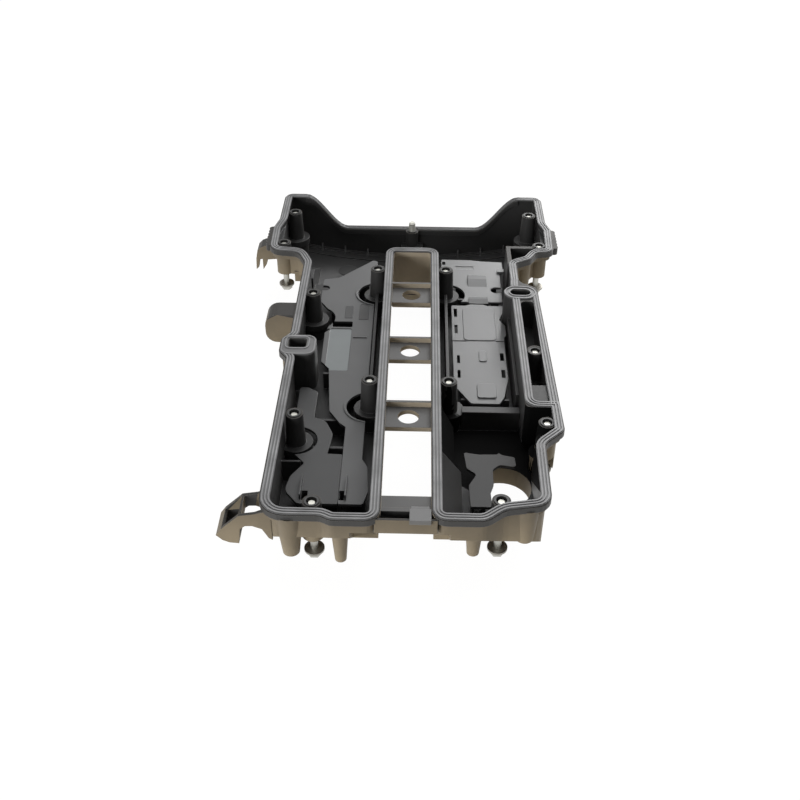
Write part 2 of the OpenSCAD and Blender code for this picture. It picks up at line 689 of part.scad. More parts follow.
// ---- Plates over the oil separator chamber
module post_recess(n, r) {
    rod(bolt_at[n], -big / 2, big / 2, r);
}
module left_separator_plate() color(plate_grey) {
    lx = -left_reach;
    inner = -(rail_x + 2.2);
    difference() {
        slab([[inner, bolt_at[6][1] + 54, 3], [inner - 4, bolt_at[6][1] + 55, 2],
              [lx + 27, slot_end_y - 3, 3], [lx + 14, slot_end_y - 6, 3], [lx + 14, plug_pitch + 20, 1],
              [lx + 27.5, plug_pitch - 2, 4], [lx + 21, plug_pitch - 27, 1], [lx + 21.5, 12, 3],
              [lx + 28, 4, 2], [lx + 32.5, -48, 5], [lx + 41, -62, 3], [lx + 45.3, -66, 1],
              [lx + 45.3, clutch_y + 38, 1], [inner + 2.5, clutch_y + 38, 2], [inner + 5.5, clutch_y + 50, 8],
              [inner + 4, clutch_y + 74, 5], [inner, clutch_y + 82, 3]], plate_z - plate_t, plate_z);
        for (n = [4, 6, 8])
            post_recess(n, 17);
        post_recess(5, 14.8);
        // Oil return slots, the breather window and the shallow recesses
        slab(box_path(lx + 26.5, plug_pitch - 18, lx + 42.5, plug_pitch - 10, 0.6), -40, 0);
        oval([lx + 12, plug_pitch + 41], [16, 8], -40, 0);
        slab(box_path(lx + 47.5, plug_pitch - 6, lx + 54, plug_pitch + 16, 0.6), plate_z - 0.7, 0);
        slab(box_path(lx + 25, 1, lx + 42.5, plug_pitch - 20, 2), plate_z - 0.5, 0);
        slab([[lx + 20, plug_pitch - 27.5, 0.4], [lx + 25, plug_pitch - 21.5, 0.4], [lx + 24, plug_pitch - 20, 0.4],
              [lx + 18, plug_pitch - 26.5, 0.4]], -40, 0);
        slab(box_path(lx + 45.5, clutch_y + 41.5, lx + 49, clutch_y + 50.5, 0.5), -40, 0);
    }
    // Raised rings round the posts, and the clip beside the slot
    for (n = [6, 8])
        intersection() {
            difference() {
                post_recess(n, 19);
                post_recess(n, 17.8);
            }
            slab(box_path(inner - 20, bolt_at[n][1] - 30, inner, bolt_at[n][1] + 4, 1), plate_z - 0.2, plate_z + 0.8);
        }
    block(lx + 49.3, clutch_y + 42, plate_z - 0.2, lx + 50.4, clutch_y + 62, plate_z + 4);
    along_x([[plug_pitch - 32, plate_z + 0.7], [plug_pitch - 33.2, plate_z - 0.2], [plug_pitch - 33.2, plate_z + 0.7]],
            lx + 44, lx + 55);
}
module left_drain_plate() color(plate_grey) {
    lx = -left_reach;
    difference() {
        slab([[lx + 12, clutch_y + 64, 6], [lx + 9.5, clutch_y + 50, 9], [lx + 19, clutch_y + 38, 3],
              [lx + 45, clutch_y + 38, 1], [lx + 45, clutch_y + 86.5, 1],
              [lx + 34.5, clutch_y + 87, 1], [lx + 36, clutch_y + 96, 5], [lx + 37, clutch_y + 108, 8],
              [lx + 31, clutch_y + 122, 8], [lx + 22.5, clutch_y + 126, 1],
              [lx + 22.5, -plug_pitch / 2 + 12.5, 1], [lx + 15, -plug_pitch / 2 + 18, 2],
              [lx + 9, -plug_pitch / 2 + 18, 2], [lx + 9, clutch_y + 90, 2], [lx + 20, clutch_y + 77, 2]],
             plate_z - plate_t, plate_z);
        post_recess(5, 14.8);
        slab(box_path(lx + 21, clutch_y + 41, lx + 25, clutch_y + 50, 0.5), -40, 0);
        post_recess(10, post_foot_r + 0.4);
    }
    block(lx + 19.8, clutch_y + 42, plate_z - 0.2, lx + 20.9, clutch_y + 62, plate_z + 4);
}
module right_far_plate() color(plate_grey) {
    inner = slot_half + 9.5;
    outer = right_reach - 27.5;
    low = plug_pitch + 23;
    difference() {
        slab([[inner, low + 69, 1], [inner, low, 1], [slot_half + 32, low, 3], [slot_half + 36, low - 2.5, 3],
              [outer - 17, low - 2.5, 3], [outer - 13, low, 3], [outer, low, 1], [outer, low + 46, 1],
              [outer + 3, low + 51, 1], [outer + 3, low + 66, 1], [outer - 14, low + 67, 2], [outer - 26, low + 69, 2]],
             plate_z - plate_t, plate_z);
        post_recess(7, 16.8);
        oval([outer - 0.5, low + 19], [17, 9], -40, 0);
        slab(box_path(inner + 0.6, low + 60, inner + 3.4, low + 65.5, 0.4), -40, 0);
        for (y = [low + 39.5, low + 5.5])
            slab(box_path(outer - 27, y, outer - 13, y + 2.2, 0.6), -40, 0);
        slab(box_path(inner + 12, low + 53, inner + 28, low + 58, 1), plate_z - 0.4, 0);
    }
    // Two bulges pressed up beside the slits
    for (b = [[low + 39.2, 16, 2.6], [low + 5.2, 8, 1.8]])
        along_x([[b[0], plate_z - 0.2], [b[0], plate_z + b[2]], [b[0] - b[1] * 0.35, plate_z + b[2] * 0.8],
                 [b[0] - b[1], plate_z - 0.2]], outer - 28, outer - 12);
    block(outer - 2, low + 46.5, plate_z - 0.2, outer + 4, low + 51.5, plate_z + 1.8);
}
module right_separator_plate() color(plate_grey) {
    inner = slot_half + 17;
    outer = right_reach - 27.5;
    top = plug_pitch + 17;
    low = -(plug_pitch / 2 - 2.5);
    difference() {
        union() {
            slab([[inner, top, 1], [inner, low + 22, 1], [inner + 12, low, 3], [outer - 10, low, 1], [outer - 6, low + 8, 4],
                  [outer - 4, low + 20, 2], [outer - 2, low + 30, 2], [outer - 2, plug_pitch - 30, 2], [outer, plug_pitch - 26, 2],
                  [outer, plug_pitch - 12, 2], [outer - 4.5, plug_pitch - 4, 4], [outer - 0.5, plug_pitch + 8, 2],
                  [outer, top, 1], [outer - 13, top, 3], [outer - 17, top + 2, 3], [outer - 27, top + 2, 3],
                  [outer - 31, top, 3]], plate_z - plate_t, plate_z);
            // Raised pads
            slab(box_path(inner + 17, low + 6, inner + 31, low + 23, 2), plate_z - 0.2, plate_z + 1.1);
            slab(box_path(inner + 20, low + 52, inner + 26, low + 66, 2), plate_z - 0.2, plate_z + 0.7);
            slab(box_path(inner + 9, plug_pitch - 34, outer - 8, top - 4, 4), plate_z - 0.2, plate_z + 0.6);
        }
        post_recess(9, 17.3);
        for (y = [top - 17, top - 41])
            slab(box_path(inner + 1.8, y, inner + 4.4, y + 12, 0.4), -40, 0);
        for (y = [low + 50, low + 31])
            slab(box_path(inner + 3, y, inner + 5.2, y + 10, 0.4), -40, 0);
        for (y = [low + 54, low + 32])
            slab(box_path(outer - 6.5, y, outer - 3.6, y + 10, 0.4), -40, 0);
        // Lips of the upper panel
        for (x = [[inner - 1, inner + 11], [outer - 9, outer + 1]])
            slab(box_path(x[0], plug_pitch - 35.5, x[1], plug_pitch - 34, 0.4), plate_z - 0.8, 0);
    }
}
module filler_splash_guard() color(plate_grey) {
    gx = slot_half + 22;
    top = clutch_y + 91;
    difference() {
        slab([[gx + 3, clutch_y + 38, 1], [gx + 17, clutch_y + 38, 1], [gx + 16.5, clutch_y + 52, 3],
              [gx + 19, clutch_y + 60, 3], [gx + 19, clutch_y + 74, 3], [gx + 24, clutch_y + 79, 3],
              [gx + 35, clutch_y + 77, 2], [gx + 34.5, top - 4, 2], [gx + 26, top - 2, 1], [gx + 24, top, 0.5],
              [gx + 22.5, top - 1.5, 1], [gx + 10, top - 2, 6], [gx, top, 1], [gx + 1.5, clutch_y + 75, 3],
              [gx + 8, clutch_y + 69, 3], [gx + 2.5, clutch_y + 58, 3]], plate_z - plate_t, plate_z);
        post_recess(11, post_foot_r + 0.4);
    }
    // Two legs down to the roof, beside the filler
    for (x = [gx + 4, gx + 11])
        block(x, clutch_y + 40, roof_in_z, x + 1.8, clutch_y + 52, plate_z - plate_t + 0.2);
}
module slot_clip() color("#77787a") {
    x0 = 2.2;
    x1 = slot_half - flange_out - 0.1;
    block(x0, clutch_y - 0.7, -2.4, x1, clutch_y + 9.6, -1.3);
    block(x0, clutch_y - 0.7, -4.6, x1, clutch_y + 0.5, -1.3);
    block(x0 + 1, clutch_y + 9.5, -3.6, x1 - 1, clutch_y + 13, -2.6);
    block(x0 + 1, clutch_y + 8.4, -3.6, x1 - 1, clutch_y + 9.6, -1.3);
}

// ---- Bolts and what holds them
module ring(at, z0, z1, r_in, r_out) {
    difference() {
        rod(at, z0, z1, r_out);
        rod(at, z0 - over, z1 + over, r_in);
    }
}
// Steel sleeves that take the bolt load, flush with the posts' tops
module bolt_sleeves() color(steel) {
    for (n = [0 : last_bolt - 1])
        ring(bolt_at[n], post_top - sleeve_length, post_top + 0.6, sleeve_in_r, sleeve_out_r);
    ring(bolt_at[last_bolt], short_post_top - short_sleeve, short_post_top + 0.6, sleeve_in_r, sleeve_out_r);
}
// Rubber rings under the sleeves: the shank passes, the thread doesn't
module bolt_retainers() color("#252525") {
    for (n = [0 : last_bolt - 1])
        ring(bolt_at[n], post_top - sleeve_length - retainer_h, post_top - sleeve_length, retainer_in_r, sleeve_out_r);
    ring(bolt_at[last_bolt], short_post_top - short_sleeve - retainer_h, short_post_top - short_sleeve,
         retainer_in_r, sleeve_out_r);
}
// A captive flange bolt, tip up; seat is the height of its flange's bearing face
module flange_bolt(at, seat, length) color(zinc) {
    tip = 1.2;
    translate([at[0], at[1], seat]) {
        cylinder(h = length - thread_length, r = shank_r);
        translate([0, 0, length - thread_length]) cylinder(h = thread_length - tip, r = thread_r);
        translate([0, 0, length - tip]) cylinder(h = tip, r1 = thread_r, r2 = thread_r - 0.9);
        translate([0, 0, -1.4]) cylinder(h = 1.4, r = bolt_flange_r);
        translate([0, 0, -1.9]) cylinder(h = 0.5, r1 = hex_af / 2, r2 = bolt_flange_r);
        translate([0, 0, -5.4]) cylinder(h = 3.6, r = hex_af / sqrt(3), $fn = 6);
    }
}
module cover_bolt(n) {
    flange_bolt(bolt_at[n], -(seat_depth + bolt_drop), bolt_length);
}
module bolt_1() cover_bolt(0);
module bolt_2() cover_bolt(1);
module bolt_3() cover_bolt(2);
module bolt_4() cover_bolt(3);
module bolt_5() cover_bolt(4);
module bolt_6() cover_bolt(5);
module bolt_7() cover_bolt(6);
module bolt_8() cover_bolt(7);
module bolt_9() cover_bolt(8);
module bolt_10() cover_bolt(9);
module bolt_11() cover_bolt(10);
module bolt_12() cover_bolt(11);
module bolt_13() cover_bolt(12);
module bolt_14() cover_bolt(13);
module bolt_15() flange_bolt(bolt_at[last_bolt], -(short_seat + short_drop), short_bolt_length + 8);

// ---- Breather valve on the outside of the roof
module breather_cap() color(plastic) {
    rim = -arm_depth - breather_h;
    rod(breather_at, rim - 2.4, rim, breather_r + wall_t);
    ring(breather_at, rim - 2.4, diaphragm_z - 1.3, breather_r - 2.2, breather_r - 0.3);
    rod(breather_at, rim - 4, rim - 2.4, 7);
}
module breather_diaphragm() color("#1d1d1d") {
    rod(breather_at, diaphragm_z - 1, diaphragm_z, breather_r - 0.5);
    rod(breather_at, diaphragm_z - 1, diaphragm_z + 1.5, 6);
}
module breather_spring() color(steel) {
    coils = 4;
    wire_r = 0.5;
    r = 8;
    low = diaphragm_z + wire_r + 0.2;
    high = -arm_depth - 0.4 - wire_r - 0.2;
    rings = coils * 16;
    sides = 8;
    turn = 360 / 16;
    skin = [for (k = [0 : rings]) for (s = [0 : sides - 1])
        let(out = r + wire_r * cos(360 * s / sides),
            up = low + (high - low) * k / rings + wire_r * sin(360 * s / sides))
        [breather_at[0] + out * cos(turn * k), breather_at[1] + out * sin(turn * k), up]];
    walls = [for (k = [0 : rings - 1]) for (s = [0 : sides - 1]) let(t = (s + 1) % sides)
        [k * sides + s, k * sides + t, (k + 1) * sides + t, (k + 1) * sides + s]];
    ends = [[for (s = [sides - 1 : -1 : 0]) s], [for (s = [0 : sides - 1]) rings * sides + s]];
    polyhedron(skin, concat(walls, ends));
}

cover_shell();
head_gasket();
left_separator_plate();
left_drain_plate();
right_far_plate();
right_separator_plate();
filler_splash_guard();
slot_clip();
bolt_sleeves();
bolt_retainers();
breather_cap();
breather_diaphragm();
breather_spring();
bolt_1();
bolt_2();
bolt_3();
bolt_4();
bolt_5();
bolt_6();
bolt_7();
bolt_8();
bolt_9();
bolt_10();
bolt_11();
bolt_12();
bolt_13();
bolt_14();
bolt_15();
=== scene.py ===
# %% [markdown]
# # Camshaft cover, lying gasket side up
# The cover is a large moulding of black glass-filled nylon with a grey rubber gasket round its rim, grey plates welded
# over its oil separator, and steel bolts that hang in their posts. The imported CAD model already has every piece at
# its real place and size, so this script gives the pieces their finishes, cuts threads on the bolts, and sets up a
# small studio round them. The frame is loaded first, and its box is kept.
# The plates are black nylon like the cover; their grey in this scene is painted sheen.

# %% Load the frame
import json
import math

import bmesh
import bpy
from mathutils import Matrix, Vector
from mathutils.bvhtree import BVHTree


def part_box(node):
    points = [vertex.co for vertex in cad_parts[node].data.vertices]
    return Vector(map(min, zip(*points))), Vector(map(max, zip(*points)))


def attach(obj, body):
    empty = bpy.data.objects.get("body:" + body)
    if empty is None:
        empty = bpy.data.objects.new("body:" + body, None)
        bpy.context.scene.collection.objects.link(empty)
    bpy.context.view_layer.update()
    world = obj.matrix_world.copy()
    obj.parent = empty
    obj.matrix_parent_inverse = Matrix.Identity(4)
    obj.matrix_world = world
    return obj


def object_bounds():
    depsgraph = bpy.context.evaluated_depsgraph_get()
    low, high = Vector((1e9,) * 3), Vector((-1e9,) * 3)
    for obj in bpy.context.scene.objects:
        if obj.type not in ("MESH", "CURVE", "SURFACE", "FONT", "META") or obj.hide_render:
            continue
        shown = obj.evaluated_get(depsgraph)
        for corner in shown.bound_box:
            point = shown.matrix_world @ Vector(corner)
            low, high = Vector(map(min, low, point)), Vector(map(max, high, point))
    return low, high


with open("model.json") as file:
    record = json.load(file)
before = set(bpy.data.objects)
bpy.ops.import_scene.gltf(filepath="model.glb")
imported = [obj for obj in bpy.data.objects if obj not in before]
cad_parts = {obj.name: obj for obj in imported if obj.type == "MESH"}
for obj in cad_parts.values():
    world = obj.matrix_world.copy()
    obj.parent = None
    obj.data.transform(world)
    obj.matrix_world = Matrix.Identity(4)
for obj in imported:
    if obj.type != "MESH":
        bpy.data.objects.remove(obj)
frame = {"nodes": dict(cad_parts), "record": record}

nodes = frame["nodes"]
cad_low, cad_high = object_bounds()
MM = 0.001
print("CAD box in mm:", [round(v / MM, 1) for v in cad_high - cad_low])

# %% [markdown]
# ## Camera
# A person at a bench looks down on the cover from its clutch end, about 0.6 m away and 0.4 m up. A 45 mm lens on a
# 36 mm sensor gives that close, slightly converging view. The camera is placed by turning it about three axes in
# turn: a little to the left, then down, then a trace of roll, as a hand-held camera has.

# %% Camera
camera_place = Vector((3, -608.8, 422)) * MM
turn_left, look_down, roll = (math.radians(a) for a in (0.95, 37.93, 0.51))
camera_data = bpy.data.cameras.new("camera")
camera_data.lens = 45
camera_data.sensor_width = 36
camera_data.clip_start = 0.01
camera = bpy.data.objects.new("camera", camera_data)
bpy.context.collection.objects.link(camera)
camera.matrix_world = (
    Matrix.Translation(camera_place)
    @ Matrix.Rotation(turn_left, 4, "Z")
    @ Matrix.Rotation(math.pi / 2 - look_down, 4, "X")
    @ Matrix.Rotation(roll, 4, "Z")
)
bpy.context.scene.camera = camera
bpy.context.scene.view_settings.view_transform = "Standard"
print("camera at", [round(v, 3) for v in camera.location])

# %% [markdown]
# ## Helpers for node trees
# Every material is a small tree of nodes. A few helpers keep them short: they add a node, join two sockets, start a
# material with its Principled shader, work out a sum, mix two colours, and join a finished surface to the shader.
# Group trees get named sockets, so each effect reads like a tool with labelled knobs.

# %% Node helpers
def add(tree, kind, sockets=None, **fields):
    """Adds a node, sets its fields, and sets its sockets' values from a dict of socket name to value."""
    node = tree.nodes.new(kind)
    for field, value in fields.items():
        setattr(node, field, value)
    for label, value in (sockets or {}).items():
        node.inputs[label].default_value = value
    return node


def join(tree, source, target):
    """Links an output socket to an input socket."""
    tree.links.new(source, target)


def new_group(name, inputs, outputs):
    """A node group with named inputs [(name, socket, default)] and outputs [(name, socket)]."""
    group = bpy.data.node_groups.new(name, "ShaderNodeTree")
    for label, socket, default in inputs:
        made = group.interface.new_socket(name=label, in_out="INPUT", socket_type=socket)
        made.default_value = default
    for label, socket in outputs:
        group.interface.new_socket(name=label, in_out="OUTPUT", socket_type=socket)
    start = group.nodes.new("NodeGroupInput")
    end = group.nodes.new("NodeGroupOutput")
    return group, start.outputs, end.inputs


def place(tree, group, **values):
    """Puts a group in a tree and sets its inputs."""
    node = tree.nodes.new("ShaderNodeGroup")
    node.node_tree = group
    for key, value in values.items():
        node.inputs[key.replace("_", " ")].default_value = value
    return node


def new_material(name, roughness, specular, metallic=0.0):
    """A material with its tree and its Principled shader."""
    material = bpy.data.materials.new(name)
    material.use_nodes = True
    tree = material.node_tree
    shader = tree.nodes["Principled BSDF"]
    shader.inputs["Roughness"].default_value = roughness
    shader.inputs["Specular IOR Level"].default_value = specular
    shader.inputs["Metallic"].default_value = metallic
    return material, tree, shader


def feed(tree, target, value):
    """Joins a socket to the target, or sets the target to a number or an (r, g, b)."""
    if isinstance(value, (int, float)):
        target.default_value = value
    elif isinstance(value, tuple):
        target.default_value = (*value, 1)
    else:
        join(tree, value, target)


def maths(tree, operation, *values, clamp=False):
    """One sum on numbers or sockets."""
    node = add(tree, "ShaderNodeMath", operation=operation, use_clamp=clamp)
    for target, value in zip(node.inputs, values):
        feed(tree, target, value)
    return node.outputs[0]


def blend_colours(tree, factor, a, b):
    """Mixes two colours, given as sockets or (r, g, b)."""
    node = add(tree, "ShaderNodeMix", data_type="RGBA")
    factor_socket, a_socket, b_socket = node.inputs[0], node.inputs[6], node.inputs[7]
    for target, value in ((factor_socket, factor), (a_socket, a), (b_socket, b)):
        feed(tree, target, value)
    return node.outputs[2]


def finish_surface(tree, shader, colour, roughness, height, strength, depth, normal=None):
    """Joins a finish to the Principled shader: its colour, its roughness, and a bump from its height."""
    join(tree, colour, shader.inputs["Base Color"])
    join(tree, roughness, shader.inputs["Roughness"])
    bump = add(tree, "ShaderNodeBump", {"Strength": strength, "Distance": depth})
    join(tree, height, bump.inputs["Height"])
    if normal:
        join(tree, normal, bump.inputs["Normal"])
    join(tree, bump.outputs["Normal"], shader.inputs["Normal"])


def seen_rays(tree):
    """1 for rays that show the studio to the camera, straight, in a reflection or through glass; otherwise 0."""
    path = add(tree, "ShaderNodeLightPath")
    seen = maths(tree, "MAXIMUM", path.outputs["Is Camera Ray"], path.outputs["Is Glossy Ray"])
    return maths(tree, "MAXIMUM", seen, path.outputs["Is Transmission Ray"])


# %% [markdown]
# ## Moulded surface
# Nylon from a spark-eroded mould has a fine, even grain under a tenth of a millimetre deep, and its gloss wanders in
# slow clouds where the melt flowed and where oil has dried. Painting that by hand would need textures, so a group of
# noise does it: one fine noise for the grain's height, and one slow noise for the clouds.

# %% Group: moulded surface
moulded, gin, gout = new_group(
    "moulded_surface",
    [("Grain Size", "NodeSocketFloat", 1400.0), ("Cloud Size", "NodeSocketFloat", 28.0),
     ("Roughness", "NodeSocketFloat", 0.45), ("Roughness Spread", "NodeSocketFloat", 0.12)],
    [("Height", "NodeSocketFloat"), ("Roughness", "NodeSocketFloat"), ("Cloud", "NodeSocketFloat")],
)
coords = add(moulded, "ShaderNodeTexCoord")
grain = add(moulded, "ShaderNodeTexNoise", {"Detail": 2.0})
cloud = add(moulded, "ShaderNodeTexNoise", {"Detail": 4.0})
for noise, size in ((grain, "Grain Size"), (cloud, "Cloud Size")):
    join(moulded, coords.outputs["Object"], noise.inputs["Vector"])
    join(moulded, gin[size], noise.inputs["Scale"])
join(moulded, grain.outputs["Fac"], gout["Height"])
join(moulded, cloud.outputs["Fac"], gout["Cloud"])
swing = maths(moulded, "MULTIPLY_ADD", cloud.outputs["Fac"], 2.0, -1.0)
join(moulded, maths(moulded, "MULTIPLY_ADD", swing, gin["Roughness Spread"], gin["Roughness"]), gout["Roughness"])
print("group", moulded.name, "has", len(moulded.nodes), "nodes")

# %% [markdown]
# ## Edge highlights
# A moulding's corners catch a thin line of light, and this is painted on them as a paler colour in patches, a painted
# highlight. Comparing the true normal with one that is rounded over a fraction of a millimetre finds those edges,
# without any change to the mesh.

# %% Group: painted edge highlights
edges, gin, gout = new_group(
    "painted_edge_highlights",
    [("Strength", "NodeSocketFloat", 1.0), ("Patchiness", "NodeSocketFloat", 0.5)],
    [("Mask", "NodeSocketFloat"), ("Normal", "NodeSocketVector")],
)
bevel = add(edges, "ShaderNodeBevel", {"Radius": 0.6 * MM}, samples=4)
geometry = add(edges, "ShaderNodeNewGeometry")
facing = add(edges, "ShaderNodeVectorMath", operation="DOT_PRODUCT")
join(edges, bevel.outputs["Normal"], facing.inputs[0])
join(edges, geometry.outputs["Normal"], facing.inputs[1])
turned = maths(edges, "SUBTRACT", 1.0, facing.outputs["Value"])
turned = maths(edges, "MULTIPLY", turned, 5.0, clamp=True)
patches = add(edges, "ShaderNodeTexNoise", {"Scale": 160.0, "Detail": 3.0})
spots = add(edges, "ShaderNodeTexCoord")
join(edges, spots.outputs["Object"], patches.inputs["Vector"])
patchy = maths(edges, "POWER", patches.outputs["Fac"], gin["Patchiness"])
turned = maths(edges, "MULTIPLY", turned, patchy)
join(edges, maths(edges, "MULTIPLY", turned, gin["Strength"], clamp=True), gout["Mask"])
join(edges, bevel.outputs["Normal"], gout["Normal"])
print("group", edges.name, "has", len(edges.nodes), "nodes")


# %% [markdown]
# ## Painted floor light
# The cover is black nylon all over, and its outside is painted a brownish tan as painted light from the pale floor
# below, thick on walls and undersides, and thin on the flats that face up as it lies here. The painted light is
# strongest low down, by the floor, and weaker towards the rim. It could be painted by hand on a UV map, but the slope
# and the height of a point already say where it belongs. The group turns both into a mask, and breaks it up with
# noise.

# %% Group: painted floor light
rim_band = -6 * MM  # above this height the walls are the rim that carries the gasket
floor_light_group, gin, gout = new_group(
    "painted_floor_light",
    [("Start", "NodeSocketFloat", 0.35), ("End", "NodeSocketFloat", 0.8), ("Unevenness", "NodeSocketFloat", 0.25),
     ("Rim Level", "NodeSocketFloat", 0.5)],
    [("Mask", "NodeSocketFloat")],
)
geometry = add(floor_light_group, "ShaderNodeNewGeometry")
slope = add(floor_light_group, "ShaderNodeSeparateXYZ")
join(floor_light_group, geometry.outputs["Normal"], slope.inputs[0])
not_facing_up = add(floor_light_group, "ShaderNodeMapRange", interpolation_type="SMOOTHSTEP")
join(floor_light_group, slope.outputs["Z"], not_facing_up.inputs["Value"])
join(floor_light_group, gin["Start"], not_facing_up.inputs["From Min"])
join(floor_light_group, gin["End"], not_facing_up.inputs["From Max"])
not_facing_up.inputs["To Min"].default_value = 1.0
not_facing_up.inputs["To Max"].default_value = 0.0
where = add(floor_light_group, "ShaderNodeTexCoord")
drifts = add(floor_light_group, "ShaderNodeTexNoise", {"Scale": 34.0, "Detail": 5.0, "Roughness": 0.6})
join(floor_light_group, where.outputs["Object"], drifts.inputs["Vector"])
drift = maths(floor_light_group, "MULTIPLY_ADD", drifts.outputs["Fac"], 3.0, -1.5)
light_share = maths(floor_light_group, "MULTIPLY_ADD", drift, gin["Unevenness"], 1.0)
height = add(floor_light_group, "ShaderNodeSeparateXYZ")
join(floor_light_group, where.outputs["Object"], height.inputs[0])
near_floor = add(floor_light_group, "ShaderNodeMapRange")
join(floor_light_group, height.outputs["Z"], near_floor.inputs["Value"])
for label, value in (("From Min", cad_low.z), ("From Max", rim_band), ("To Min", 1.0)):
    near_floor.inputs[label].default_value = value
join(floor_light_group, gin["Rim Level"], near_floor.inputs["To Max"])
light_share = maths(floor_light_group, "MULTIPLY", light_share, near_floor.outputs["Result"])
join(floor_light_group, maths(floor_light_group, "MULTIPLY", not_facing_up.outputs["Result"], light_share, clamp=True), gout["Mask"])
print("group", floor_light_group.name, "has", len(floor_light_group.nodes), "nodes")

# %% [markdown]
# ## The cover's nylon, inside and outside
# One moulding shows two faces. Inside, years of oil mist have left the nylon nearly black with a faint shine, and its
# walls take a trace of painted floor light. Outside, it carries the painted floor light. Both finishes share the
# grain, the clouds and the painted edge highlights, so a single maker builds them, and the plates too, whose grey is
# painted sheen.


# %% Plastic: a maker for the nylon mouldings
def grey(level, warmth=0.0):
    """A linear grey, a little warmer or cooler."""
    return (level * (1 + warmth), level, level * (1 - warmth))


def shade(colour, share):
    """A darker shade of a colour, for the dim side of its clouds."""
    return tuple(part * share for part in colour)


def moulded_plastic(name, colour, edge_colour, roughness, specular, grain_depth=0.04 * MM, spread=0.1,
                    sides=None, rim_level=0.5, highlight_strength=0.7):
    """A nylon with a painted highlight on its edges; sides is the colour of the painted floor light, where it has one.
    """
    material, tree, shader = new_material(name, roughness, specular)
    surface = place(tree, moulded, Roughness=roughness, Roughness_Spread=spread)
    edge_highlight = place(tree, edges, Strength=highlight_strength)
    body = blend_colours(tree, surface.outputs["Cloud"], shade(colour, 0.78), colour)
    # painted floor light: the sides colour is mixed in where the painted floor light mask is strong
    if sides:
        floor_lit = place(tree, floor_light_group, Rim_Level=rim_level)
        floor_lit_colour = blend_colours(tree, surface.outputs["Cloud"], shade(sides, 0.86), sides)
        body = blend_colours(tree, floor_lit.outputs["Mask"], body, floor_lit_colour)
    # painted highlight: the edges take the paler edge colour
    body = blend_colours(tree, edge_highlight.outputs["Mask"], body, edge_colour)
    finish_surface(tree, shader, body, surface.outputs["Roughness"], surface.outputs["Height"], 0.6, grain_depth,
                   normal=edge_highlight.outputs["Normal"])
    return material


# %% The nylons and the rubber of the small parts
# the inside walls take a trace of the same painted floor light; the clip's groove and the rim band under the gasket
# use this black as painted shade
oil_black_nylon = moulded_plastic(
    "oil_black_nylon", grey(0.032), grey(0.2), 0.42, 0.32, sides=grey(0.055, 0.01), rim_level=1.0, highlight_strength=0.8)
# painted shade: the hollow under the filler is painted nearly black and without shine
hollow_painted_shade_nylon = moulded_plastic("hollow_painted_shade_nylon", grey(0.004), grey(0.02), 0.7, 0.04, highlight_strength=0.5)
# painted floor light on the outside of the cover and the breather cap: a warm tan on walls and undersides, over black
floor_lit_nylon = moulded_plastic(
    "floor_lit_nylon", grey(0.038, 0.05), (0.26, 0.225, 0.17), 0.5, 0.2, sides=(0.455, 0.378, 0.264), rim_level=0.42)
# painted floor light on the slot's walls and its end lip: a paler grey, and warm tan on walls and undersides
slot_floor_lit_nylon = moulded_plastic(
    "slot_floor_lit_nylon", grey(0.105, 0.01), (0.28, 0.26, 0.22), 0.45, 0.3, sides=(0.62, 0.53, 0.40), rim_level=0.8)
# painted sheen: the plates are black nylon like the cover; their greys, palest on the far and right plates, paint the
# sheen of light on them
far_plate_sheen_nylon = moulded_plastic("far_plate_sheen_nylon", grey(0.18, -0.01), grey(0.36), 0.36, 0.42)
right_plate_sheen_nylon = moulded_plastic("right_plate_sheen_nylon", grey(0.158, -0.01), grey(0.34), 0.36, 0.48)
left_plate_sheen_nylon = moulded_plastic("left_plate_sheen_nylon", grey(0.138, -0.01), grey(0.28), 0.38, 0.3)
drain_plate_sheen_nylon = moulded_plastic("drain_plate_sheen_nylon", grey(0.084, -0.01), grey(0.24), 0.4, 0.25)
guard_nylon = moulded_plastic("guard_nylon", grey(0.06), grey(0.2), 0.42, 0.18)
# painted sheen: the clip's pale grey paints the light on its face
clip_sheen_nylon = moulded_plastic("clip_sheen_nylon", grey(0.2), grey(0.36), 0.4, 0.32)
label_nylon = moulded_plastic("label_nylon", grey(0.07), grey(0.12), 0.55, 0.4)
# painted sheen: the smooth panel's pale blue-grey paints the sheen on its smoother face
smooth_panel_sheen_nylon = moulded_plastic(
    "smooth_panel_sheen_nylon", (0.25, 0.272, 0.275), grey(0.45), 0.25, 0.55, grain_depth=0.01 * MM, spread=0.04)
black_rubber = moulded_plastic("black_rubber", grey(0.018), grey(0.04), 0.6, 0.4)

# %% [markdown]
# ## Gasket rubber
# The gasket is one long ring of grey silicone with three thin ridges. The ridges' crowns are painted paler than the
# valleys between them, a painted highlight on the crowns and painted shade in the valleys. Height alone tells crown
# from valley here, so the material compares the point's height with the top of the gasket, which comes from the frame.

# %% Gasket rubber
gasket_rubber, tree, shader = new_material("gasket_rubber", 0.5, 0.5)
surface = place(tree, moulded, Grain_Size=2200.0, Roughness=0.5, Roughness_Spread=0.08)
where = add(tree, "ShaderNodeTexCoord")
split = add(tree, "ShaderNodeSeparateXYZ")
join(tree, where.outputs["Object"], split.inputs[0])
gasket_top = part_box("head_gasket")[1].z
ridge_height = 0.6 * MM
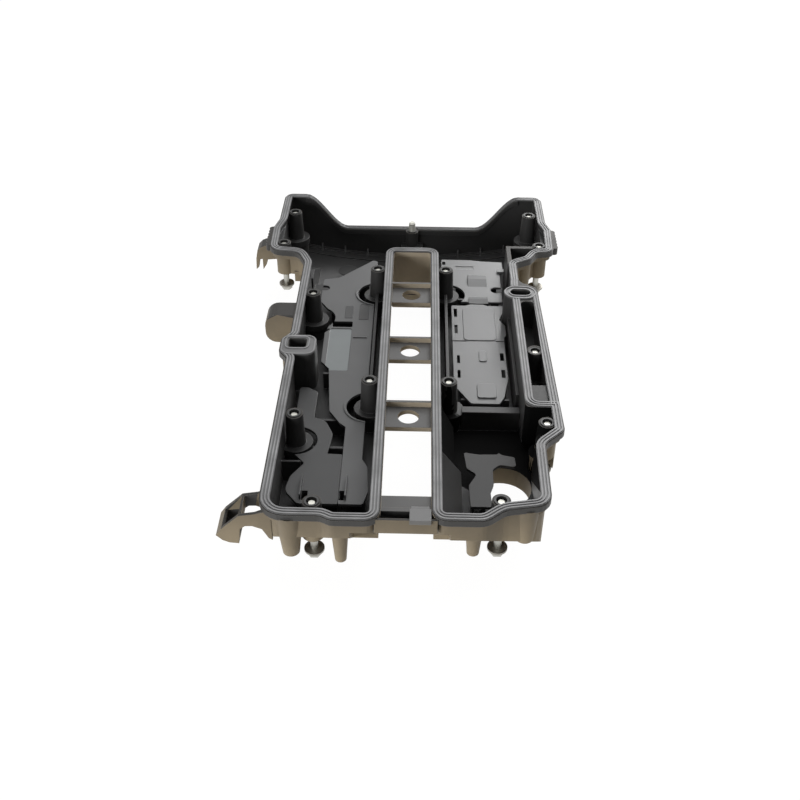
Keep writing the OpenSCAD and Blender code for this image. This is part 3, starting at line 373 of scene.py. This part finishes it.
# painted highlight on the crowns and painted shade in the valleys, from the point's height
crown_highlight = add(tree, "ShaderNodeMapRange")
join(tree, split.outputs["Z"], crown_highlight.inputs["Value"])
crown_highlight.inputs["From Min"].default_value = gasket_top - ridge_height
crown_highlight.inputs["From Max"].default_value = gasket_top - 0.15 * ridge_height
rubber = blend_colours(tree, crown_highlight.outputs["Result"], (0.165, 0.165, 0.168), (0.36, 0.36, 0.365))
smears = add(tree, "ShaderNodeTexNoise", {"Scale": 55.0, "Detail": 5.0})
join(tree, where.outputs["Object"], smears.inputs["Vector"])
smear = maths(tree, "MULTIPLY_ADD", smears.outputs["Fac"], 1.6, -0.25, clamp=True)
rubber = blend_colours(tree, smear, (0.105, 0.105, 0.106), rubber)
finish_surface(tree, shader, rubber, surface.outputs["Roughness"], surface.outputs["Height"], 0.5, 0.03 * MM)
print("the gasket's crowns start at", round((gasket_top - ridge_height) / MM, 2), "mm")

# %% [markdown]
# ## Steel
# The bolts are zinc-plated, pale and slightly yellow on the shank; their flanges are given a darker zinc, a painted
# reflection of the black cover. The sleeves are plain turned steel that has darkened in oil, and the spring is bright.
# All are metals, so little but their colour and roughness differs, and slow noise makes both uneven.


# %% Metals
def steel(name, colour, roughness, metallic=1.0):
    """A dull metal, duller in slow clouds."""
    material, tree, shader = new_material(name, roughness, 0.5, metallic=metallic)
    surface = place(tree, moulded, Grain_Size=900.0, Cloud_Size=240.0, Roughness=roughness, Roughness_Spread=0.15)
    body = blend_colours(tree, surface.outputs["Cloud"], shade(colour, 0.7), colour)
    finish_surface(tree, shader, body, surface.outputs["Roughness"], surface.outputs["Height"], 0.3, 0.02 * MM)
    return material


shank_zinc = steel("shank_zinc", (0.54, 0.535, 0.49), 0.42)
# painted reflection: the flanges' darker zinc paints the reflection of the black cover
flange_reflection_zinc = steel("flange_reflection_zinc", (0.34, 0.325, 0.29), 0.42, metallic=0.8)
sleeve_steel = steel("sleeve_steel", grey(0.06), 0.5)
spring_steel = steel("spring_steel", grey(0.5), 0.35)
print("made", len(bpy.data.materials), "materials so far")

# %% [markdown]
# ## Giving the pieces their finishes
# Most CAD nodes take one material. The cover takes four, and its faces are sorted among them: from a point just off
# each face, rays go down and away in eight directions. Inside the bowl nearly all of them meet the moulding, and
# outside some always escape; the outside carries the painted floor light. The hollow under the oil filler is inside
# too, and painted darker still, as painted shade. The long slot between the two rows of camshaft housings has walls
# painted paler with painted floor light, but the groove that the clip bridges keeps the black inside finish as painted
# shade.
# The left plate has a smooth recessed panel, painted as a paler sheen, and each bolt's flange has a darker zinc, a
# painted reflection of the black cover. Only the faces' material numbers change.


# %% Finishes
def dress(name, *materials):
    """Gives a CAD node its materials, and returns its mesh."""
    mesh = nodes[name].data
    mesh.materials.clear()
    for material in materials:
        mesh.materials.append(material)
    return mesh


finishes = {
    "head_gasket": gasket_rubber, "left_drain_plate": drain_plate_sheen_nylon, "right_far_plate": far_plate_sheen_nylon,
    "right_separator_plate": right_plate_sheen_nylon, "filler_splash_guard": guard_nylon, "slot_clip": clip_sheen_nylon,
    "breather_cap": floor_lit_nylon, "bolt_sleeves": sleeve_steel, "bolt_retainers": black_rubber,
    "breather_diaphragm": black_rubber, "breather_spring": spring_steel,
}
for name, material in finishes.items():
    dress(name, material)
print("finished", len(finishes), "plain nodes")


# %% Inside and outside of the cover
OUTSIDE, INSIDE, SLOT, HOLLOW = range(4)
WAYS, ENOUGH = 8, 7  # rays from each face, and how many have to meet the moulding
POST_TOPS = -0.6 * MM  # faces above this height are the flat tops of posts and rims
opening_boxes = {o["name"]: o["box_m"] for o in frame["record"]["physics"]["openings"]}


def slot_zone():
    """Half the width and the far end of the slot between the housings, out to the walls round its windows."""
    windows = [box for name, box in opening_boxes.items() if name.startswith("slot_window")]
    half_width = max(abs(corner[0]) for window in windows for corner in window) + 3.4 * MM
    far_end = max(window[1][1] for window in windows) + 5.5 * MM
    return half_width, far_end


def hollow_zone():
    """The hollow under the filler, out to its walls, from the box that the record keeps clear."""
    low, high = (Vector(corner) for corner in opening_boxes["filler_hollow"])
    return low - Vector((22, 34, 12)) * MM, high + Vector((22, 3, 12)) * MM


def slot_kind(at, groove_near, groove_far, groove_floor):
    """The slot's walls take the paler painted floor light, the clip's groove keeps the black inside finish as painted
    shade, and the end bar's near face is outside.
    """
    if groove_near < at.y < groove_far and at.z < groove_floor:
        return INSIDE
    return OUTSIDE if at.y < groove_near else SLOT


def sorted_faces(mesh, tree):
    """The kind of each face: from an inside one, nearly every way down and out meets the moulding."""
    half_width, far_end = slot_zone()
    hollow_low, hollow_high = hollow_zone()
    clip_low, clip_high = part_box("slot_clip")
    groove = (clip_low.y + 3 * MM, clip_high.y - 3.4 * MM, clip_low.z + 1.5 * MM)
    off_axis = 0.2  # turns the rays away from the straight walls
    turns = [math.tau * k / WAYS + off_axis for k in range(WAYS)]
    flats = [Vector((math.cos(turn), math.sin(turn), 0)) for turn in turns]
    kinds = []
    for face in mesh.polygons:
        at = face.center + face.normal * MM
        if at.z > POST_TOPS:
            kinds.append(OUTSIDE)
            continue
        if abs(at.x) < half_width and at.y < far_end:
            kinds.append(slot_kind(at, *groove))
            continue
        fall = Vector((0, 0, 0.0 if face.normal.z > 0.5 else -1.0))
        met = sum(tree.ray_cast(at, (flat + fall).normalized())[0] is not None for flat in flats)
        if met >= ENOUGH:
            in_hollow = all(low < value < high for low, value, high in zip(hollow_low, at, hollow_high))
            kinds.append(HOLLOW if in_hollow else INSIDE)
        else:
            # painted shadow band: the rim's upright faces just under the gasket take the black inside finish
            on_rim = at.z > rim_band and abs(face.normal.z) < 0.7
            kinds.append(INSIDE if on_rim else OUTSIDE)
    return kinds


shell = dress("cover_shell", floor_lit_nylon, oil_black_nylon, slot_floor_lit_nylon, hollow_painted_shade_nylon)
shell_tree = BVHTree.FromPolygons([v.co for v in shell.vertices], [p.vertices for p in shell.polygons])
kinds = sorted_faces(shell, shell_tree)
shell.polygons.foreach_set("material_index", kinds)
print("cover faces outside, inside, in the slot and in the hollow:", [kinds.count(kind) for kind in range(4)])

# %% The left plate's smooth panel
plate = dress("left_separator_plate", left_plate_sheen_nylon, smooth_panel_sheen_nylon)
panel_low, panel_high = Vector((-64.5, 1, -40)) * MM, Vector((-47, 58, -20)) * MM
for face in plate.polygons:
    on_panel = all(low < value < high for low, value, high in zip(panel_low, face.center, panel_high))
    face.material_index = int(on_panel and face.normal.z > 0.9)
print("faces on the smooth panel:", sum(face.material_index for face in plate.polygons))

# %% The bolts' darker flanges, a painted reflection
flange_foot, flange_top, shank_reach = 3.5 * MM, 5.41 * MM, 2.6 * MM
bolt_names = [f"bolt_{number}" for number in range(1, 16)]
for name in bolt_names:
    low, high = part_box(name)
    axis = (low + high) / 2
    bolt = dress(name, shank_zinc, flange_reflection_zinc)
    for face in bolt.polygons:
        out = (face.center - axis).to_2d().length
        face.material_index = int(flange_foot < face.center.z - low.z < flange_top and out > shank_reach)
print("dressed", len(bolt_names), "bolts")

# %% [markdown]
# ## Bolt threads
# Each bolt ends in twelve millimetres of rolled M6 thread, 1 mm from crest to crest. The CAD bolt is smooth there, so
# the thread is added as a thin helical ridge that wraps the blank, and it rides on the bolt. A screw modifier could
# spin one profile, but writing the ring of points one by one keeps the run-out at both ends, where a real thread fades
# into the shank and the tip.


# %% Thread maker
RIDGE = ((-0.42, -0.05), (-0.08, 1.0), (0.08, 1.0), (0.42, -0.05))  # along in pitches, out in crests
ROOT_DEPTH = 3  # how far the feet of the ridge are sunk, against the plain section


def finished_object(name, work):
    """Turns worked geometry into a linked object."""
    bmesh.ops.recalc_face_normals(work, faces=work.faces)
    mesh = bpy.data.meshes.new(name)
    work.to_mesh(mesh)
    work.free()
    made = bpy.data.objects.new(name, mesh)
    bpy.context.collection.objects.link(made)
    return made


def helical_ridge(name, axis, bottom, top, radius, crest, pitch, sides=20):
    """A ridge of triangular section wound round an axis, fading out over half a turn at both ends."""
    work = bmesh.new()
    turns = (top - bottom) / pitch
    steps = int(turns * sides)
    rows = []
    for k in range(steps + 1):
        turn = k / sides
        angle = math.tau * turn
        fade = min(1.0, 2 * turn, 2 * (turns - turn))
        height = bottom + pitch * turn
        row = []
        for offset, rise in RIDGE:
            out = radius + crest * rise * (fade if rise > 0 else ROOT_DEPTH)
            row.append(work.verts.new((
                axis[0] + out * math.cos(angle), axis[1] + out * math.sin(angle), height + offset * pitch)))
        rows.append(row)
    for low_row, high_row in zip(rows, rows[1:]):
        for a in range(3):
            work.faces.new((low_row[a], high_row[a], high_row[a + 1], low_row[a + 1]))
        work.faces.new((low_row[3], high_row[3], high_row[0], low_row[0]))
    work.faces.new(rows[0][::-1])
    work.faces.new(rows[-1])
    return finished_object(name, work)


# %% Cut the threads
blank_radius, crest_height, thread_pitch = (v * MM for v in (2.95, 0.16, 1.0))
thread_start, thread_end = (v * MM for v in (11.4, 1.7))  # below the tip
for name in bolt_names:
    low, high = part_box(name)
    thread = helical_ridge(
        name + "_thread", (low + high) / 2, high.z - thread_start, high.z - thread_end,
        blank_radius, crest_height, thread_pitch)
    thread.data.materials.append(shank_zinc)
    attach(thread, name)
print("cut", len(bolt_names), "threads")

# %% [markdown]
# ## Small moulded details
# Four details are too small for the CAD model: a web that closes the near end of the pocket just under the gasket, a
# lip that carries the slot's far wall on towards the chain chamber's roof, and two bare raised pads on the left
# plate, where a maker would stamp marks. Each is a flat outline pushed up to its height, with its edges rounded by a
# bevel, because a moulded edge is never sharp.


# %% Pad maker
def moulded_pad(name, corners, bottom, top, rounding, material):
    """A flat piece with rounded edges, from its outline's corners, in mm."""
    work = bmesh.new()
    foot = work.faces.new([work.verts.new((x * MM, y * MM, bottom * MM)) for x, y in corners])
    lifted = bmesh.ops.extrude_face_region(work, geom=[foot])["geom"]
    bmesh.ops.translate(work, verts=[v for v in lifted if isinstance(v, bmesh.types.BMVert)],
                        vec=(0, 0, (top - bottom) * MM))
    uprights = [e for e in work.edges if abs(e.verts[0].co.z - e.verts[1].co.z) > 0.01 * MM]
    bmesh.ops.bevel(work, geom=uprights, offset=rounding * MM, segments=4, affect="EDGES", profile=0.5)
    rims = [e for e in work.edges if all(abs(v.co.z - top * MM) < 0.001 * MM for v in e.verts)]
    bmesh.ops.bevel(work, geom=rims, offset=0.15 * MM, segments=2, affect="EDGES", profile=0.5)
    pad = finished_object(name, work)
    pad.data.materials.append(material)
    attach(pad, "cover")
    return pad


def rectangle(left, near, right, far):
    """The corners of a rectangle, from its near left one round."""
    return [(left, near), (right, near), (right, far), (left, far)]


# %% Make the small details
corner_rounding = 0.8
pads = (
    ("pocket_web", rectangle(86.2, -64.6, 97.3, -44.5), -4.2, -2.4, guard_nylon, "cover_plastic"),
    ("slot_end_lip", rectangle(-17, 139.2, 17, 142), -57, -44, slot_floor_lit_nylon, "cover_plastic"),
    ("left_plate_pad_dark", rectangle(-42.4, 71, -34.6, 93), -26.1, -25.7, label_nylon, "plate_plastic"),
    ("left_plate_pad_faint", rectangle(-54, 73, -47.3, 91.3), -26.1, -25.75, drain_plate_sheen_nylon, "plate_plastic"),
)
for name, corners, bottom, top, material, slot in pads:
    moulded_pad(name, corners, bottom, top, corner_rounding, material)
print("made", len(pads), "small pieces")

# %% [markdown]
# ## Studio
# The cover lies on white paper. Seen directly or in a reflection, the paper glows white, so the background stays
# clean without extra light on the part; for all other rays it is plain paper in a warm white, which throws a soft
# warm light up on the cover's sides. A tenth of the plain paper always shows, and keeps a faint shadow under the
# cover. The world does the same: it is white where it is seen, and gives hardly any light of its own, so the light
# comes from three soft lamps.

# %% Studio floor
floor_gap = 0.2 * MM
bpy.ops.mesh.primitive_plane_add(size=6, location=(0, 1, cad_low.z - floor_gap))
floor = bpy.context.object
floor.name = "floor"
paper, tree, shader = new_material("studio_paper", 0.8, 0.2)
shader.inputs["Base Color"].default_value = (0.86, 0.82, 0.74, 1)
glow = add(tree, "ShaderNodeEmission", {"Color": (1, 1, 1, 1), "Strength": 1.08})
mix = add(tree, "ShaderNodeMixShader")
for source, target in ((maths(tree, "MULTIPLY", seen_rays(tree), 0.9), mix.inputs[0]),
                       (shader.outputs[0], mix.inputs[1]), (glow.outputs[0], mix.inputs[2]),
                       (mix.outputs[0], tree.nodes["Material Output"].inputs["Surface"])):
    join(tree, source, target)
floor.data.materials.append(paper)

# %% World
world = bpy.data.worlds.new("studio")
bpy.context.scene.world = world
world.use_nodes = True
tree = world.node_tree
background = tree.nodes["Background"]
background.inputs["Color"].default_value = (1, 1, 1, 1)
unseen_level = 0.04
level = maths(tree, "MULTIPLY_ADD", seen_rays(tree), 1 - unseen_level, unseen_level)
join(tree, level, background.inputs["Strength"])


# %% Lamps
def softbox(name, size, place_at, aim, watts):
    """A rectangular lamp that points from one place at another."""
    data = bpy.data.lights.new(name, "AREA")
    data.shape = "RECTANGLE"
    data.size, data.size_y = size
    data.energy = watts
    lamp = bpy.data.objects.new(name, data)
    bpy.context.collection.objects.link(lamp)
    lamp.location = place_at
    lamp.rotation_euler = (Vector(aim) - Vector(place_at)).to_track_quat("-Z", "Y").to_euler()


softbox("back_softbox", (0.9, 0.7), (0.6, 1.35, 0.7), (0, 0.05, 0), 16)
softbox("overhead_softbox", (1.5, 1.5), (0.25, 0.4, 1.5), (0, 0, 0), 16)
softbox("low_left_softbox", (0.6, 0.4), (-0.75, -0.85, 0.25), (0, -0.1, -0.03), 7.5)
print("lamps:", sorted(lamp.name for lamp in bpy.data.lights))
